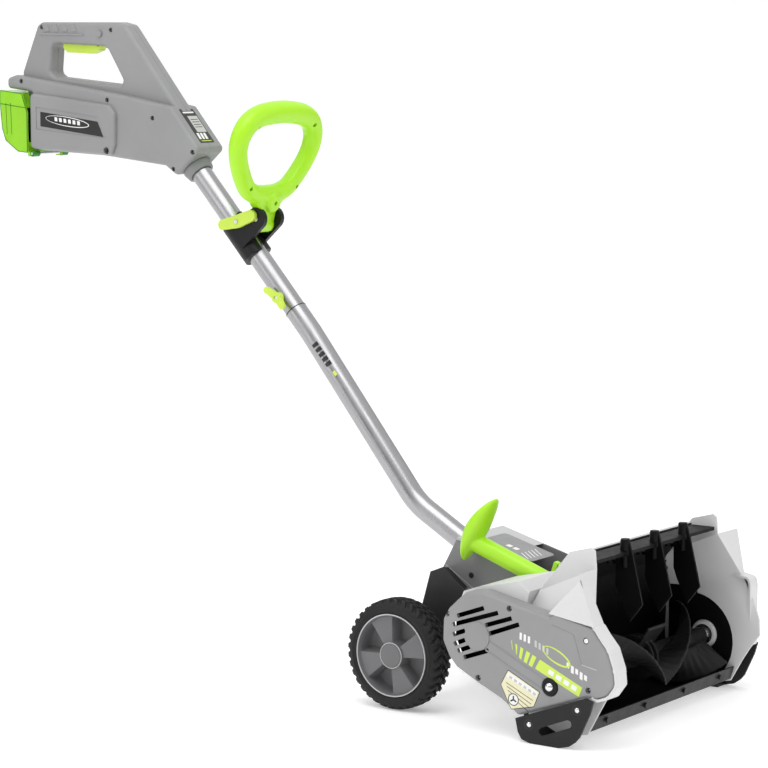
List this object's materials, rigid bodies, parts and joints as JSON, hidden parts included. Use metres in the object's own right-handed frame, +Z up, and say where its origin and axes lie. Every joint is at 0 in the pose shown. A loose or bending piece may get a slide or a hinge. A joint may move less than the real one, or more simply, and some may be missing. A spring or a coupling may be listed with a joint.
{
  "type": "cordless snow shovel",
  "caption": "Battery snow shovel: wheeled auger head with deflector vanes, bent tube, tilting front ring handle, rear trigger grip with battery bay.",
  "frame": {"origin": "middle of the floor rectangle under the whole machine, on the floor", "axes": "+X to the operator's left, +Y towards the operator, +Z up"},
  "size_m": [0.4718, 1.27, 0.979],
  "materials": {
    "white": "satin moulded",
    "grey": "fine grain",
    "grey2": "fine grain",
    "black": "satin moulded",
    "rubber": "moulded",
    "tyre": "moulded tread",
    "rimgrey": "satin",
    "lime": "satin moulded",
    "clip": "satin moulded",
    "steel": "zinc plated",
    "darksteel": "black coated",
    "alu": "brushed, clear coated",
    "castiron": "machined",
    "motor": "drawn steel can",
    "door": "translucent moulded"
  },
  "bodies": {
    "head": {"hood": "white", "cheek_right": "white", "cheek_left": "white", "scroll_liner": "black", "scraper_bar": "darksteel", "belt_cover": "grey", "far_cover": "white", "cover_screws": "steel", "skid_right": "darksteel", "skid_left": "darksteel", "skid_bolts": "steel", "bearings": "steel", "drive_belt": "rubber", "motor_can": "motor", "motor_bracket": "darksteel", "housing_body": "grey2", "housing_lid": "white", "body_screws": "darksteel", "wheel_bracket_right": "darksteel", "wheel_bracket_left": "darksteel", "axle": "steel", "vane_pins": "steel", "lever_bush": "black", "lower_tube": "alu", "upper_tube": "alu", "tube_spigot": "alu", "joint_bolt": "steel", "wire_harness": "rubber", "grip_right": "grey", "grip_left": "grey", "grip_screws": "darksteel", "grip_collar": "grey2", "switch_box": "black", "battery": "black", "door_pin": "steel"},
    "auger": {"auger_rotor": "rubber", "auger_shaft": "steel", "auger_pulley": "castiron", "axle_nut": "steel"},
    "motor": {"motor_rotor": "steel"},
    "wheel_right": {"tyre_right": "tyre", "rim_right": "rimgrey"},
    "wheel_left": {"tyre_left": "tyre", "rim_left": "rimgrey"},
    "vane_right": {"vane_right": "black"},
    "vane_middle": {"vane_middle": "black"},
    "vane_left": {"vane_left": "black"},
    "link": {"vane_link": "white"},
    "lever": {"chute_lever": "lime"},
    "knob": {"wing_knob": "clip"},
    "clamp": {"clamp_collar": "black", "clamp_bolt": "steel", "handle_pivot": "steel"},
    "cam": {"cam_lever": "clip"},
    "front_handle": {"ring_front": "lime", "ring_back": "lime", "ring_screws": "steel"},
    "trigger": {"trigger": "clip"},
    "lock": {"lock_button": "clip"},
    "door": {"battery_door": "door"}
  },
  "joints": [
    {"name": "auger_spin", "type": "hinge", "parent": "head", "child": "auger", "pos_m": [0, -0.53, 0.081], "axis": [1, 0, 0], "continuous": true},
    {"name": "motor_spin", "type": "hinge", "parent": "head", "child": "motor", "pos_m": [0, -0.4125, 0.1365], "axis": [1, 0, 0], "continuous": true},
    {"name": "wheel_right_spin", "type": "hinge", "parent": "head", "child": "wheel_right", "pos_m": [-0.167, -0.238, 0.08], "axis": [1, 0, 0], "continuous": true},
    {"name": "wheel_left_spin", "type": "hinge", "parent": "head", "child": "wheel_left", "pos_m": [0.167, -0.238, 0.08], "axis": [1, 0, 0], "continuous": true},
    {"name": "lever_twist", "type": "hinge", "parent": "head", "child": "lever", "pos_m": [-0.08, -0.319, 0.232], "axis": [0, -0.9415, -0.3369], "range_deg": [-20, 20]},
    {"name": "link_slide", "type": "slide", "parent": "head", "child": "link", "axis": [1, 0, 0], "range_m": [-0.0106, 0.0106]},
    {"name": "vane_right_turn", "type": "hinge", "parent": "head", "child": "vane_right", "pos_m": [-0.081, -0.558, 0.245], "axis": [0, 0, 1], "range_deg": [-25.2, 25.2]},
    {"name": "vane_middle_turn", "type": "hinge", "parent": "head", "child": "vane_middle", "pos_m": [0, -0.558, 0.245], "axis": [0, 0, 1], "range_deg": [-25.2, 25.2]},
    {"name": "vane_left_turn", "type": "hinge", "parent": "head", "child": "vane_left", "pos_m": [0.081, -0.558, 0.245], "axis": [0, 0, 1], "range_deg": [-25.2, 25.2]},
    {"name": "knob_turn", "type": "hinge", "parent": "head", "child": "knob", "pos_m": [-0.027, 0.0888, 0.56206], "axis": [1, 0, 0], "range_deg": [0, 360]},
    {"name": "clamp_slide", "type": "slide", "parent": "head", "child": "clamp", "axis": [0, 0.6686, 0.7436], "range_m": [-0.045, 0.09]},
    {"name": "cam_open", "type": "hinge", "parent": "clamp", "child": "cam", "pos_m": [-0.028, 0.16032, 0.67526], "axis": [1, 0, 0], "range_deg": [0, 90]},
    {"name": "front_handle_tilt", "type": "hinge", "parent": "clamp", "child": "front_handle", "pos_m": [0, 0.12898, 0.68004], "axis": [1, 0, 0], "range_deg": [-40, 40]},
    {"name": "trigger_pull", "type": "hinge", "parent": "head", "child": "trigger", "pos_m": [0, 0.454, 0.943], "axis": [1, 0, 0], "range_deg": [0, 5], "stiffness_Nm_per_rad": 1, "springref_deg": -5.73},
    {"name": "lock_press", "type": "slide", "parent": "head", "child": "lock", "axis": [1, 0, 0], "range_m": [0, 0.003], "stiffness_N_per_m": 300, "springref_m": -0.004},
    {"name": "battery_door_open", "type": "hinge", "parent": "head", "child": "door", "pos_m": [0, 0.568, 0.77], "axis": [-1, 0, 0], "range_deg": [0, 90]}
  ],
  "couplings": [
    {"joint": "motor_spin", "follows": "auger_spin", "ratio": 2.6901},
    {"joint": "link_slide", "follows": "lever_twist", "m_per_rad": -0.03},
    {"joint": "vane_right_turn", "follows": "lever_twist", "ratio": 1.25},
    {"joint": "vane_middle_turn", "follows": "lever_twist", "ratio": 1.25},
    {"joint": "vane_left_turn", "follows": "lever_twist", "ratio": 1.25}
  ]
}
